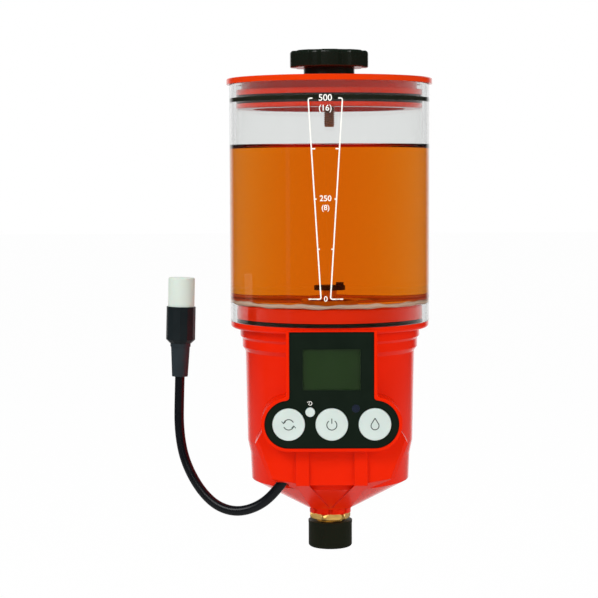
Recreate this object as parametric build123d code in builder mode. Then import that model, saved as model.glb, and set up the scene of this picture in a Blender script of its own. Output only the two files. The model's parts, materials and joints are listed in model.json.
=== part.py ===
"""Automatic oil lubricator: clear reservoir, red pump housing, keypad panel and supply cable.

Frame: millimetres, +Z up, the front (the panel) faces -Y. The origin lies on the outlet's
axis, on the shoulder under the outlet hexagon, where the lubricator seats on its fitting.
"""
from build123d import *
import math
import os

os.makedirs("parts", exist_ok=True)

# ---------------------------------------------------------------- fits, all radial or per side
slide_gap = 0.03        # plunger and seal rings in the bores they wipe
seat_gap = 0.1          # pieces dropped into a seat
moving_gap = 0.3        # pieces that move past each other

# ---------------------------------------------------------------- outlet nipple and its cap
hex_across_flats = 17.0
hex_height = 2.9
hex_turn = 10.0         # degrees, how the hexagon happens to stand
thread_r = 6.6          # quarter-inch pipe thread
thread_length = 11.5
thread_chamfer = 0.8
shank_r = 6.0           # the nipple's upper thread
passage_r = 1.5
valve_rise = 2.9        # the valve pocket's floor above the hexagon
cap_wall = 3.45
cap_floor = 1.8
cap_round = 1.2
cap_lip = 0.2
cap_rim = 1.0           # height of the lip round the cap's mouth
cap_setback = 1.0       # the cap's mouth below the hexagon

# ---------------------------------------------------------------- housing, from the bottom up
collar_r = 9.65
collar_height = 2.0
cone_height = 14.65
lower_r = 36.5
lower_height = 11.75
lower_top_r = 37.0
shoulder_height = 6.1
barrel_r = 38.3
barrel_height = 41.7
barrel_top_r = 39.1
step_bevel = 2.0
step_r = 40.5
step_height = 3.8
top_step_bevel = 1.2
top_step_r = 41.5
top_step_height = 3.9
housing_wall = 3.0
floor_rise = 7.1        # from the collar's foot to the flat inner floor
floor_r = 14.0
inner_cone_rise = 2.0   # the inner cone's edge above the outer one's
notch_count = 8
notch_r = 0.9

# ---------------------------------------------------------------- panel pod on the front
pod_front = 46.6        # distance of the pod's rim from the axis
rim_width = 1.5
rim_depth = 0.5         # how far the panel sits behind the rim
panel_thickness = 1.2
panel_half_width = 18.6
panel_rise = 1.4        # the panel's top above the housing's top edge
panel_corner_r = 1.5
button_drop = 39.4      # the button row below the housing's top edge
button_pitch = 19.0
button_r = 7.15
pod_radius = 10.6       # the panel's round ends, about the outer buttons
window_width = 25.4
window_height = 18.0
module_margin = 0.8     # of the display module round its window
module_chamfer = 0.5
window_drop = 15.2      # the window's centre below the housing's top edge
reset_x = -button_pitch / 2
reset_rise = 5.5        # above the button row
reset_r = 2.1
led_x = 10.6
led_rise = 7.0
led_r = 1.8
button_travel = 0.8
button_proud = 0.5
button_flange = 0.9     # thickness of the keys' retaining flange
flange_overhang = 0.6
board_gap = 6.4         # from the panel's back to the circuit board
board_thickness = 1.6
switch_height = 2.6
switch_side = 6.0
reset_switch_side = 3.4
pillar_r = 1.3

# ---------------------------------------------------------------- faceted skirt under the pod
skirt_front = 41.5
skirt_top_half = 34.0
skirt_low_half = 28.1
skirt_drop = 9.4        # from the button row to the skirt's widest points
skirt_side_drop = 15.4
skirt_tip_drop = 3.2
skirt_foot_drop = 7.5   # from the skirt's lower corners to its underside behind the ribs
skirt_back = 14.0
skirt_bevel = 1.8
facet_drop = 2.2        # the lower facet's upper edge, from the skirt's corner to the rib
facet_depth = 6.6
facet_height = 3.8
rib_x = 13.0
rib_width = 5.9
rib_proud = 1.1
web_foot_x = 4.7
web_foot_width = 8.4
web_foot_depth = 6.6
web_rise = 2.0          # the webs' feet above the cone's lower edge
web_proud = 1.0         # the webs' feet in front of the cone
wiring_half = 23.1      # half width of the wiring space in the skirt

# ---------------------------------------------------------------- reservoir
flange_setback = 0.25   # the flange's edge inside the tube's outer face
flange_thickness = 3.0
flange_round = 1.2
spigot_height = 8.2
spigot_chamfer = 1.0
base_floor = 3.5
pilot_depth = 6.0
pilot_wall = 3.0
tube_bore = 86.0
tube_wall = 3.0
tube_length = 108.4
ring_section = 1.4      # thin ring at the tube's foot
oil_gap = 27.8          # from the oil's surface to the tube's top edge
inlet_base_r = 9.0
inlet_base_height = 2.6
inlet_chamfer = 0.8
inlet_stem_r = 2.2
inlet_stem_height = 3.9
inlet_bore_r = 1.2
inlet_barb_length = 14.0
strainer_r = 4.9
strainer_height = 2.3
strainer_round = 0.4
strainer_nub_offset = 3.2
strainer_nub_height = 1.3

# ---------------------------------------------------------------- lid and knob
lid_r = 47.2
lid_thickness = 2.6
lid_round = 0.6
plug_chamfer = 0.5
plug_depth = 11.4
plug_gap = 0.25
neck_depth = 2.4
neck_height = 2.9
land_height = 2.2
lid_ring_section = 3.8
lid_recess_r = 35.0
lid_web = 4.5
lid_boss_r = 6.5
stud_r = 2.5
stud_chamfer = 0.5
stud_reach = 19.4       # below the lid's flange
knob_r = 18.0
knob_height = 7.7
knob_cover = 2.5        # the knob's thickness over its stud's end
knob_round = 1.4
knob_foot_round = 0.6
hub_r = 11.7
hub_height = 5.0
lobe_count = 8
flute_r = 4.5
flute_depth = 1.5
washer_height = 1.2
washer_width = 3.2

# ---------------------------------------------------------------- pump drive
plunger_r = 3.0
stroke = 8.0
dead_space = 0.5
block_r = 12.0
socket_depth = 8.0      # thread in the block's foot for the outlet nipple
port_length = 3.0       # from the nipple's end to the plunger's chamber
bore_land = 4.0         # bore that stays above the plunger's tip
table_r = 24.0
table_thickness = 4.0
gear_module = 0.6
gear_teeth = 54
pinion_teeth = 18
gear_width = 6.0
gear_hub_height = 2.7
tooth_thinning = 0.12
spindle_r = 4.0
spindle_length = 24.0
spindle_flat = 3.2      # the flat's distance from the spindle's axis
gear_hub_r = 7.2
plunger_chamfer = 0.3
shaft_entry = 2.0       # the shaft's end inside the motor
shaft_clearance = 1.5   # round the shaft in the motor plate
screw_r = 1.0
motor_screw_head_r = 1.6
post_r = 2.5
post_circle = 21.0
plate_thickness = 2.5
motor_r = 10.0
motor_length = 31.0
motor_chamfer = 1.0
motor_shaft_r = 1.5
motor_screw_offset = 7.0
ball_r = 2.0
port_r = 1.25           # outlet port that the ball closes
valve_bore_r = 2.6
spring_wire = 0.5
spring_turns = 5
feed_r = 2.5
feed_bore_r = 1.2
barb_r = 2.2            # the inlet's stem inside the feed tube
feed_bend_r = 5.0
feed_gap = 2.0          # the feed tube's end below the reservoir's floor
feed_drop = 12.0        # from the motor's top to the tube's upper side bend

# ---------------------------------------------------------------- supply cable and its plug
cable_r = 2.2
cable_route = [
    (-18.2, -37.4, 28.6),
    (-23.5, -36.6, 20.7),
    (-30.9, -34.4, 12.7),
    (-40.8, -32.4, 8.7),
    (-49.9, -30.0, 10.3),
    (-57.2, -27.0, 16.1),
    (-63.2, -24.0, 25.2),
    (-67.0, -21.3, 34.6),
    (-68.7, -19.4, 45.9),
    (-68.9, -18.2, 57.4),
    (-68.6, -18.0, 68.9),
]
grommet_wall = 0.9
grommet_length = 5.2
boot_r = 3.6
boot_top_r = 4.3
boot_length = 15.1
boot_rim = 1.5           # length of the boot's wider end
boot_rim_proud = 0.3
grip_r = 6.6
grip_length = 16.7
grip_facets = 12
grip_chamfer = 1.7
plug_r = 6.0
plug_length = 13.2
plug_end_chamfer = 0.4
contact_r = 0.6
contact_circle = 2.8
contact_count = 4
contact_length = 10.0
contact_recess = 0.5

# ---------------------------------------------------------------- levels and radii that follow
collar_z = hex_height
cone_z = collar_z + collar_height
lower_z = cone_z + cone_height
shoulder_z = lower_z + lower_height
barrel_z = shoulder_z + shoulder_height
barrel_top_z = barrel_z + barrel_height
step_z = barrel_top_z + step_bevel
step_top_z = step_z + step_height
top_step_z = step_top_z + top_step_bevel
housing_top = top_step_z + top_step_height
floor_z = collar_z + floor_rise
bore_r = barrel_top_r - housing_wall

flange_top = housing_top + flange_thickness
spigot_top = flange_top + spigot_height
tube_r = tube_bore / 2
flange_r = tube_r + tube_wall - flange_setback
tube_top = flange_top + tube_length
lid_top = tube_top + lid_thickness
knob_z = lid_top + hub_height
knob_top = knob_z + knob_height

button_z = housing_top - button_drop
panel_top = housing_top + panel_rise
panel_front = pod_front - rim_depth
panel_back = panel_front - panel_thickness
window_z = housing_top - window_drop
board_front = panel_back - board_gap
pod_half = button_pitch + pod_radius

block_z = floor_z
nipple_top = block_z + socket_depth
chamber_z = nipple_top + port_length
plunger_tip = chamber_z + dead_space + stroke
inlet_port_z = plunger_tip - feed_bore_r - moving_gap
table_z = plunger_tip + bore_land + stroke + moving_gap
gear_z = table_z + moving_gap
plate_z = gear_z + gear_width + gear_hub_height + moving_gap
motor_z = plate_z + plate_thickness
gear_pitch_r = gear_module * gear_teeth / 2
pinion_pitch_r = gear_module * pinion_teeth / 2
motor_x = gear_pitch_r + pinion_pitch_r


# ================================================================ outlet
valve_floor = collar_z + valve_rise
ball_z = nipple_top - math.sqrt(ball_r**2 - port_r**2) - seat_gap / 2

with BuildPart() as outlet_nipple:
    with BuildSketch(Plane.XY):
        RegularPolygon(hex_across_flats / 2, 6, major_radius=False, rotation=hex_turn)
    extrude(amount=hex_height)
    with BuildSketch(Plane.XY.offset(hex_height)):
        Circle(shank_r)
    extrude(amount=nipple_top - hex_height)
    with BuildSketch(Plane.XY.offset(-thread_length)):
        Circle(thread_r)
    extrude(amount=thread_length)
    chamfer(outlet_nipple.faces().sort_by(Axis.Z)[0].edges(), length=thread_chamfer)
    with BuildSketch(Plane.XY.offset(-thread_length)):
        Circle(passage_r)
    extrude(amount=thread_length + valve_floor, mode=Mode.SUBTRACT)
    with BuildSketch(Plane.XY.offset(valve_floor)):
        Circle(valve_bore_r)
    extrude(amount=nipple_top - valve_floor, mode=Mode.SUBTRACT)
outlet_nipple.part.label = "outlet_nipple"

cap_r = thread_r + cap_wall
cap_top = -cap_setback
cap_bottom = -thread_length - cap_floor
with BuildPart() as outlet_cap:
    with BuildSketch(Plane.XY.offset(cap_bottom)):
        Circle(cap_r + cap_lip / 2)
    extrude(amount=cap_top - cap_bottom)
    fillet(outlet_cap.faces().sort_by(Axis.Z)[0].edges(), radius=cap_round)
    with BuildSketch(Plane.XY.offset(cap_top - cap_rim)):
        Circle(cap_r + cap_lip)
    extrude(amount=cap_rim)
    with BuildSketch(Plane.XY.offset(-thread_length)):
        Circle(thread_r + slide_gap)
    extrude(amount=thread_length + cap_top, mode=Mode.SUBTRACT)
outlet_cap.part.label = "outlet_cap"


# ================================================================ housing
def panel_outline(margin, top):
    """Panel shape: an upright rectangle that flows into a round-ended bar about the buttons.

    It is drawn oversize and drawn in again, which rounds the two inner corners.
    """
    grow = margin + panel_corner_r
    height = top + panel_corner_r - button_z
    with Locations((0, button_z + height / 2)):
        Rectangle(2 * (panel_half_width + grow), height)
    with Locations((0, button_z)):
        SlotOverall(2 * (pod_half + grow), 2 * (pod_radius + grow))
    offset(amount=-panel_corner_r, kind=Kind.ARC)


skirt_top_z = button_z - skirt_drop
skirt_side_z = skirt_top_z - skirt_side_drop
skirt_tip_z = skirt_side_z - skirt_tip_drop

def lower_facet(side):
    """Plane of the facet that runs from a lower corner of the skirt's front to the rib."""
    rib_edge = side * (rib_x + rib_width / 2)
    corner = Vector(side * skirt_low_half, -skirt_front, skirt_side_z)
    upper = Vector(rib_edge, -skirt_front, skirt_side_z - facet_drop)
    lower = upper + Vector(0, facet_depth, -facet_height)
    return Plane(origin=corner, x_dir=upper - corner, z_dir=side * (upper - corner).cross(lower - corner))


with BuildPart() as skirt_form:
    with BuildSketch(Plane.XZ.offset(skirt_back)):
        with BuildLine():
            Polyline(
                (-skirt_top_half, skirt_top_z),
                (-skirt_low_half, skirt_side_z),
                (-rib_x, skirt_side_z - skirt_foot_drop),
                (-rib_x, skirt_tip_z),
                (rib_x, skirt_tip_z),
                (rib_x, skirt_side_z - skirt_foot_drop),
                (skirt_low_half, skirt_side_z),
                (skirt_top_half, skirt_top_z),
                (pod_half, button_z - rim_width),
                (-pod_half, button_z - rim_width),
                close=True,
            )
        make_face()
    extrude(amount=skirt_front - skirt_back)
    front_edges = skirt_form.faces().sort_by(Axis.Y)[0].edges()
    side_edges = front_edges.filter_by(
        lambda edge: abs(edge.center().X) > skirt_low_half and edge.center().Z < skirt_top_z
    )
    chamfer(side_edges, length=skirt_bevel)
    for side in (-1, 1):
        split(bisect_by=lower_facet(side), keep=Keep.BOTTOM)

rib_front = skirt_front + rib_proud
web_foot_z = cone_z + web_rise
web_foot_front = collar_r + web_rise * (lower_r - collar_r) / cone_height + web_proud
with BuildPart() as rib_form:
    with BuildSketch(Plane.XY.offset(skirt_tip_z)):
        with Locations((rib_x, -(rib_front + lower_r / 2) / 2)):
            Rectangle(rib_width, rib_front - lower_r / 2)
    extrude(amount=button_z - pod_radius - skirt_tip_z)
    with BuildSketch(Plane.XY.offset(skirt_tip_z)):
        with Locations((rib_x, -(rib_front + lower_r / 2) / 2)):
            Rectangle(rib_width, rib_front - lower_r / 2)
    with BuildSketch(Plane.XY.offset(web_foot_z)):
        with Locations((web_foot_x, web_foot_depth / 2 - web_foot_front)):
            Rectangle(web_foot_width, web_foot_depth)
    loft()

exit_start = Vector(*cable_route[0])
exit_end = Vector(*cable_route[1])
exit_axis = (exit_end - exit_start).normalized()
exit_plane = Plane(origin=exit_start, z_dir=exit_axis)
grommet_r = cable_r + grommet_wall

with BuildPart() as housing:
    with BuildSketch(Plane.XZ):
        with BuildLine():
            Polyline(
                (0, collar_z),
                (collar_r, collar_z),
                (collar_r, cone_z),
                (lower_r, lower_z),
                (lower_top_r, shoulder_z),
                (barrel_r, barrel_z),
                (barrel_top_r, barrel_top_z),
                (step_r, step_z),
                (step_r, step_top_z),
                (top_step_r, top_step_z),
                (top_step_r, housing_top),
                (0, housing_top),
                close=True,
            )
        make_face()
    revolve(axis=Axis.Z)
    # the pod that carries the panel, with a lip that stands up in front of the flange
    with BuildSketch(Plane.XZ.offset(pod_front)):
        panel_outline(rim_width, panel_top + rim_width / 2)
    extrude(amount=-(pod_front - skirt_back))
    with BuildSketch(Plane.XY.offset(housing_top)):
        with Locations((0, top_step_r - (panel_back - panel_thickness) / 2)):
            Rectangle(4 * top_step_r, 2 * top_step_r + panel_back - panel_thickness)
    extrude(amount=2 * panel_rise + rim_width, mode=Mode.SUBTRACT)
    add(skirt_form.part)
    add(rib_form.part)
    add(rib_form.part.mirror(Plane.YZ))
    # inner space for the pump, open at the top
    with BuildSketch(Plane.XZ):
        with BuildLine():
            Polyline(
                (0, floor_z),
                (floor_r, floor_z),
                (lower_r - housing_wall, lower_z + inner_cone_rise),
                (lower_top_r - housing_wall, shoulder_z),
                (barrel_r - housing_wall, barrel_z),
                (bore_r, barrel_top_z),
                (bore_r, housing_top),
                (0, housing_top),
                close=True,
            )
        make_face()
    revolve(axis=Axis.Z, mode=Mode.SUBTRACT)
    # seat for the panel, then the opening behind it for the keys and the display
    with BuildSketch(Plane.XZ.offset(pod_front)):
        panel_outline(seat_gap, panel_top + seat_gap)
    extrude(amount=-(pod_front - panel_back), mode=Mode.SUBTRACT)
    with BuildSketch(Plane.XZ.offset(panel_back)):
        panel_outline(-rim_width, housing_top - housing_wall)
    extrude(amount=-(panel_back - lower_r / 2), mode=Mode.SUBTRACT)
    # wiring space inside the skirt, and the hole for the cable's grommet
    with BuildSketch(Plane.XZ.offset(skirt_front - housing_wall)):
        with Locations((0, (skirt_side_z + housing_wall + button_z) / 2)):
            Rectangle(2 * wiring_half, button_z - skirt_side_z - housing_wall)
    extrude(amount=-(skirt_front - housing_wall - lower_r / 2), mode=Mode.SUBTRACT)
    with BuildSketch(exit_plane):
        Circle(grommet_r)
    extrude(amount=4 * grommet_length, mode=Mode.SUBTRACT)
    # hole for the nipple's shank, and the notches round the collar
    with BuildSketch(Plane.XY.offset(collar_z)):
        Circle(shank_r + seat_gap)
    extrude(amount=floor_rise, mode=Mode.SUBTRACT)
    with BuildSketch(Plane.XY.offset(collar_z)):
        with PolarLocations(collar_r, notch_count):
            Circle(notch_r)
    extrude(amount=2 * collar_height, mode=Mode.SUBTRACT)
housing.part.label = "housing"


# ================================================================ panel, display and keys
upper_pillar_x = panel_half_width - rim_width - 2 * moving_gap - pillar_r
upper_pillar_z = housing_top - housing_wall - 2 * pillar_r
lower_pillar_z = button_z - pod_radius + rim_width + 2 * pillar_r
pillar_places = [
    (-upper_pillar_x, upper_pillar_z),
    (upper_pillar_x, upper_pillar_z),
    (-button_pitch / 2, lower_pillar_z),
    (button_pitch / 2, lower_pillar_z),
]
key_places = [(-button_pitch, button_z), (0, button_z), (button_pitch, button_z)]
reset_z = button_z + reset_rise
led_z = button_z + led_rise

with BuildPart() as panel:
    with BuildSketch(Plane.XZ.offset(panel_front)):
        panel_outline(0, panel_top)
        with Locations((0, window_z)):
            Rectangle(window_width, window_height, mode=Mode.SUBTRACT)
        with Locations(*key_places):
            Circle(button_r + moving_gap / 2, mode=Mode.SUBTRACT)
        with Locations((reset_x, reset_z)):
            Circle(reset_r + moving_gap / 2, mode=Mode.SUBTRACT)
        with Locations((led_x, led_z)):
            Circle(led_r, mode=Mode.SUBTRACT)
    extrude(amount=-panel_thickness)
    with BuildSketch(Plane.XZ.offset(panel_back)):
        with Locations(*pillar_places):
            Circle(pillar_r)
    extrude(amount=-board_gap)
panel.part.label = "panel"

with BuildPart() as display_window:
    with BuildSketch(Plane.XZ.offset(panel_front)):
        with Locations((0, window_z)):
            Rectangle(window_width - seat_gap, window_height - seat_gap)
    extrude(amount=-panel_thickness)
display_window.part.label = "display_window"

display_depth = board_gap - seat_gap
with BuildPart() as display_module:
    with BuildSketch(Plane.XZ.offset(panel_back - seat_gap)):
        with Locations((0, window_z)):
            Rectangle(window_width + 2 * module_margin, window_height + 2 * module_margin)
    extrude(amount=-display_depth)
    chamfer(display_module.faces().sort_by(Axis.Y)[0].edges(), length=module_chamfer)
display_module.part.label = "display_module"

with BuildPart() as circuit_board:
    with BuildSketch(Plane.XZ.offset(board_front)):
        panel_outline(-rim_width - moving_gap, housing_top - housing_wall - moving_gap)
        with Locations(*pillar_places):
            Circle(pillar_r / 2, mode=Mode.SUBTRACT)
    extrude(amount=-board_thickness)
circuit_board.part.label = "circuit_board"

with BuildPart() as board_screws:
    with BuildSketch(Plane.XZ.offset(board_front - board_thickness)):
        with Locations(*pillar_places):
            Circle(pillar_r)
    extrude(amount=-pillar_r)
board_screws.part.label = "board_screws"


def push_button(radius, x, z):
    """Key cap with a retaining flange behind the panel and a stem that reaches its switch."""
    front = panel_front + button_proud
    flange_front = panel_back - seat_gap
    flange_back = flange_front - button_flange
    tip = board_front + switch_height + button_travel + seat_gap / 2
    discs = [
        (radius, front, flange_back),
        (radius + flange_overhang, flange_front, flange_back),
        (radius / 3, flange_back, tip),
    ]
    with BuildPart() as key:
        for disc_r, disc_front, disc_back in discs:
            with BuildSketch(Plane.XZ.offset(disc_front)):
                with Locations((x, z)):
                    Circle(disc_r)
            extrude(amount=-(disc_front - disc_back))
        fillet(key.faces().sort_by(Axis.Y)[0].edges(), radius=button_proud * 0.8)
    return key.part


key_names = ["mode_button", "power_button", "test_button"]
keys = [push_button(button_r, x, z) for x, z in key_places]
keys.append(push_button(reset_r, reset_x, reset_z))
for key_name, key_part in zip(key_names + ["reset_button"], keys):
    key_part.label = key_name

with BuildPart() as key_switches:
    with BuildSketch(Plane.XZ.offset(board_front)):
        with Locations(*key_places):
            RectangleRounded(switch_side, switch_side, switch_side / 10)
        with Locations((reset_x, reset_z)):
            Rectangle(reset_switch_side, reset_switch_side)
    extrude(amount=switch_height)
key_switches.part.label = "key_switches"

with BuildPart() as led_lens:
    with BuildSketch(Plane.XZ.offset(panel_front + slide_gap)):
        with Locations((led_x, led_z)):
            Circle(led_r - slide_gap)
    extrude(amount=-(panel_front + slide_gap - board_front))
led_lens.part.label = "led_lens"


# ================================================================ reservoir base, tube and oil
spigot_r = tube_r - slide_gap
ring_z = flange_top + ring_section / 2 + moving_gap
with BuildPart() as reservoir_base:
    with BuildSketch(Plane.XY.offset(housing_top)):
        Circle(flange_r)
    extrude(amount=flange_thickness)
    fillet(reservoir_base.faces().sort_by(Axis.Z)[0].edges(), radius=flange_round)
    with BuildSketch(Plane.XY.offset(flange_top)):
        Circle(spigot_r)
    extrude(amount=spigot_height)
    chamfer(reservoir_base.faces().sort_by(Axis.Z)[-1].edges(), length=spigot_chamfer)
    with BuildSketch(Plane.XY.offset(housing_top - pilot_depth)):
        Circle(bore_r - seat_gap)
    extrude(amount=pilot_depth)
    with BuildSketch(Plane.XY.offset(housing_top - pilot_depth)):
        Circle(bore_r - seat_gap - pilot_wall)
    extrude(amount=pilot_depth + flange_thickness + spigot_height - base_floor, mode=Mode.SUBTRACT)
    with BuildSketch(Plane.XZ):
        with Locations((spigot_r, ring_z)):
            Rectangle(2 * ring_section, ring_section + 2 * slide_gap)
    revolve(axis=Axis.Z, mode=Mode.SUBTRACT)
    with BuildSketch(Plane.XY.offset(spigot_top)):
        Circle(inlet_base_r / 2)
    extrude(amount=-base_floor, mode=Mode.SUBTRACT)
    # flat on the flange behind the pod's lip
    with BuildSketch(Plane.XY.offset(housing_top)):
        with Locations((0, -(panel_back - panel_thickness) - flange_r)):
            Rectangle(2 * flange_r, 2 * (flange_r + seat_gap))
    extrude(amount=flange_thickness, mode=Mode.SUBTRACT)
reservoir_base.part.label = "reservoir_base"


def seal_ring(section, outer_r, z):
    """Rubber ring of round section whose outside just reaches outer_r."""
    with BuildPart() as ring:
        with BuildSketch(Plane.XZ):
            with Locations((outer_r - section / 2, z)):
                Circle(section / 2)
        revolve(axis=Axis.Z)
    return ring.part


base_seal = seal_ring(ring_section, tube_r, ring_z)
base_seal.label = "base_seal"

with BuildPart() as reservoir_tube:
    with BuildSketch(Plane.XY.offset(flange_top)):
        Circle(tube_r + tube_wall)
        Circle(tube_r, mode=Mode.SUBTRACT)
    extrude(amount=tube_length)
reservoir_tube.part.label = "reservoir_tube"

inlet_top = spigot_top + inlet_base_height + inlet_stem_height
with BuildPart() as inlet_fitting:
    with BuildSketch(Plane.XY.offset(spigot_top)):
        Circle(inlet_base_r)
    extrude(amount=inlet_base_height)
    chamfer(inlet_fitting.faces().sort_by(Axis.Z)[-1].edges(), length=inlet_chamfer)
    with BuildSketch(Plane.XY.offset(spigot_top + inlet_base_height)):
        Circle(inlet_stem_r)
    extrude(amount=inlet_stem_height)
    with BuildSketch(Plane.XY.offset(spigot_top)):
        Circle(inlet_base_r / 2 - seat_gap)
    extrude(amount=-base_floor)
    with BuildSketch(Plane.XY.offset(spigot_top - base_floor)):
        Circle(barb_r)
    extrude(amount=-inlet_barb_length / 2)
    with BuildSketch(Plane.XY.offset(inlet_top)):
        Circle(inlet_bore_r)
    extrude(amount=-(inlet_top - spigot_top + base_floor + inlet_barb_length / 2), mode=Mode.SUBTRACT)
inlet_fitting.part.label = "inlet_fitting"

with BuildPart() as strainer:
    with BuildSketch(Plane.XY.offset(inlet_top)):
        Circle(strainer_r)
    extrude(amount=strainer_height)
    fillet(strainer.edges(), radius=strainer_round)
    with BuildSketch(Plane.XY.offset(inlet_top + strainer_height)):
        with Locations((strainer_nub_offset, 0)):
            Circle(strainer_r / 4)
    extrude(amount=strainer_nub_height)
strainer.part.label = "strainer"

with BuildPart() as oil_fill:
    with BuildSketch(Plane.XY.offset(spigot_top)):
        Circle(tube_r - slide_gap)
    extrude(amount=tube_top - oil_gap - spigot_top)
    add(inlet_fitting.part, mode=Mode.SUBTRACT)
    add(strainer.part, mode=Mode.SUBTRACT)
    with BuildSketch(Plane.XY.offset(inlet_top)):
        Circle(inlet_bore_r)
    extrude(amount=-(inlet_top - spigot_top), mode=Mode.SUBTRACT)
oil_fill.part.label = "oil_fill"


# ================================================================ lid, its ring and the screw knob
plug_z = tube_top - plug_depth
lid_ring_z = plug_z + land_height + lid_ring_section / 2 + slide_gap
recess_top = tube_top + lid_thickness - lid_web
plug_r_out = tube_r - plug_gap
with BuildPart() as lid:
    with BuildSketch(Plane.XY.offset(tube_top)):
        Circle(lid_r)
    extrude(amount=lid_thickness)
    fillet(lid.faces().sort_by(Axis.Z)[-1].edges(), radius=lid_round)
    with BuildSketch(Plane.XY.offset(plug_z)):
        Circle(plug_r_out)
    extrude(amount=plug_depth)
    chamfer(lid.faces().sort_by(Axis.Z)[0].edges(), length=plug_chamfer)
    with BuildSketch(Plane.XZ):
        with Locations((plug_r_out, lid_ring_z)):
            Rectangle(2 * (lid_ring_section + slide_gap - plug_gap), lid_ring_section + 2 * slide_gap)
        with Locations((plug_r_out, tube_top - neck_height / 2)):
            Rectangle(2 * neck_depth, neck_height)
    revolve(axis=Axis.Z, mode=Mode.SUBTRACT)
    with BuildSketch(Plane.XY.offset(plug_z)):
        Circle(lid_recess_r)
    extrude(amount=recess_top - plug_z, mode=Mode.SUBTRACT)
    with BuildSketch(Plane.XY.offset(plug_z + land_height)):
        Circle(lid_boss_r)
    extrude(amount=recess_top - plug_z - land_height)
    with BuildSketch(Plane.XY.offset(plug_z)):
        Circle(stud_r + seat_gap)
    extrude(amount=lid_top - plug_z, mode=Mode.SUBTRACT)
lid.part.label = "lid"

lid_ring = seal_ring(lid_ring_section, tube_r - slide_gap, lid_ring_z)
lid_ring.label = "lid_ring"

washer_r = stud_r + moving_gap + washer_width
with BuildPart() as knob_washer:
    with BuildSketch(Plane.XY.offset(lid_top)):
        Circle(washer_r)
        Circle(stud_r + moving_gap, mode=Mode.SUBTRACT)
    extrude(amount=washer_height)
knob_washer.part.label = "knob_washer"

stud_top = knob_top - knob_cover
stud_foot = tube_top - stud_reach
flute_centre = knob_r - flute_depth + flute_r
with BuildPart() as knob:
    with BuildSketch(Plane.XY.offset(knob_z)):
        Circle(knob_r)
        with PolarLocations(flute_centre, lobe_count, start_angle=180 / lobe_count + 90):
            Circle(flute_r, mode=Mode.SUBTRACT)
    extrude(amount=knob_height)
    fillet(knob.faces().sort_by(Axis.Z)[-1].edges(), radius=knob_round)
    fillet(knob.faces().sort_by(Axis.Z)[0].edges(), radius=knob_foot_round)
    with BuildSketch(Plane.XY.offset(lid_top)):
        Circle(hub_r)
    extrude(amount=hub_height)
    with BuildSketch(Plane.XY.offset(lid_top)):
        Circle(washer_r + seat_gap)
    extrude(amount=washer_height, mode=Mode.SUBTRACT)
    with BuildSketch(Plane.XY.offset(lid_top)):
        Circle(stud_r)
    extrude(amount=stud_top - lid_top, mode=Mode.SUBTRACT)
knob.part.label = "knob"

with BuildPart() as knob_stud:
    with BuildSketch(Plane.XY.offset(stud_foot)):
        Circle(stud_r)
    extrude(amount=stud_top - stud_foot)
    chamfer(knob_stud.faces().sort_by(Axis.Z)[0].edges(), length=stud_chamfer)
knob_stud.part.label = "knob_stud"


# ================================================================ pump block, plunger and drive
feed_side = Vector(-1, 1, 0).normalized()
with BuildPart() as pump_block:
    with BuildSketch(Plane.XY.offset(block_z)):
        Circle(block_r)
    extrude(amount=table_z - block_z)
    with BuildSketch(Plane.XY.offset(table_z - table_thickness)):
        Circle(table_r)
    extrude(amount=table_thickness)
    with BuildSketch(Plane.XY.offset(block_z)):
        Circle(shank_r)
    extrude(amount=nipple_top - block_z, mode=Mode.SUBTRACT)
    with BuildSketch(Plane.XY.offset(nipple_top)):
        Circle(port_r)
    extrude(amount=chamber_z - nipple_top, mode=Mode.SUBTRACT)
    with BuildSketch(Plane.XY.offset(chamber_z)):
        Circle(plunger_r + slide_gap)
    extrude(amount=table_z - chamber_z, mode=Mode.SUBTRACT)
    with BuildSketch(Plane.XY.offset(table_z - stroke - moving_gap)):
        Circle(spindle_r + moving_gap)
    extrude(amount=stroke + moving_gap, mode=Mode.SUBTRACT)
    with BuildSketch(Plane(origin=(0, 0, inlet_port_z), z_dir=feed_side)):
        Circle(feed_bore_r)
    extrude(amount=block_r, mode=Mode.SUBTRACT)
pump_block.part.label = "pump_block"

with BuildPart() as plunger:
    with BuildSketch(Plane.XY.offset(plunger_tip)):
        Circle(plunger_r)
    extrude(amount=table_z - plunger_tip)
    with BuildSketch(Plane.XY.offset(table_z)):
        Circle(spindle_r)
        with Locations((spindle_r + spindle_flat, 0)):
            Rectangle(2 * spindle_r, 2 * spindle_r, mode=Mode.SUBTRACT)
    extrude(amount=spindle_length)
    chamfer(plunger.faces().sort_by(Axis.Z)[0].edges(), length=plunger_chamfer)
plunger.part.label = "plunger"


def tooth_outline(teeth, thinning):
    """Half of one involute tooth about the X axis, as (radius, angle) from root to tip."""
    pitch_r = gear_module * teeth / 2
    base_r = pitch_r * math.cos(math.radians(20))
    tip_r = pitch_r + gear_module
    half_pitch = (math.pi / 2 - thinning / gear_module) / teeth
    involute_pitch = math.tan(math.radians(20)) - math.radians(20)
    start = max(base_r, pitch_r - gear_module)
    flank = []
    for step in range(4):
        radius = start + (tip_r - start) * step / 3
        pressure = math.acos(min(1.0, base_r / radius))
        flank.append((radius, half_pitch + involute_pitch - math.tan(pressure) + pressure))
    return [(pitch_r - 1.25 * gear_module, flank[0][1])] + flank


def gear_points(teeth, phase):
    """Closed outline of a spur gear; phase is the angle of a tooth's centre, in radians."""
    flank = tooth_outline(teeth, tooth_thinning)
    points = []
    for index in range(teeth):
        centre = phase + 2 * math.pi * index / teeth
        side = [(r, centre - a) for r, a in flank] + [(r, centre + a) for r, a in reversed(flank)]
        points += [(r * math.cos(a), r * math.sin(a)) for r, a in side]
    return points


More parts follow.
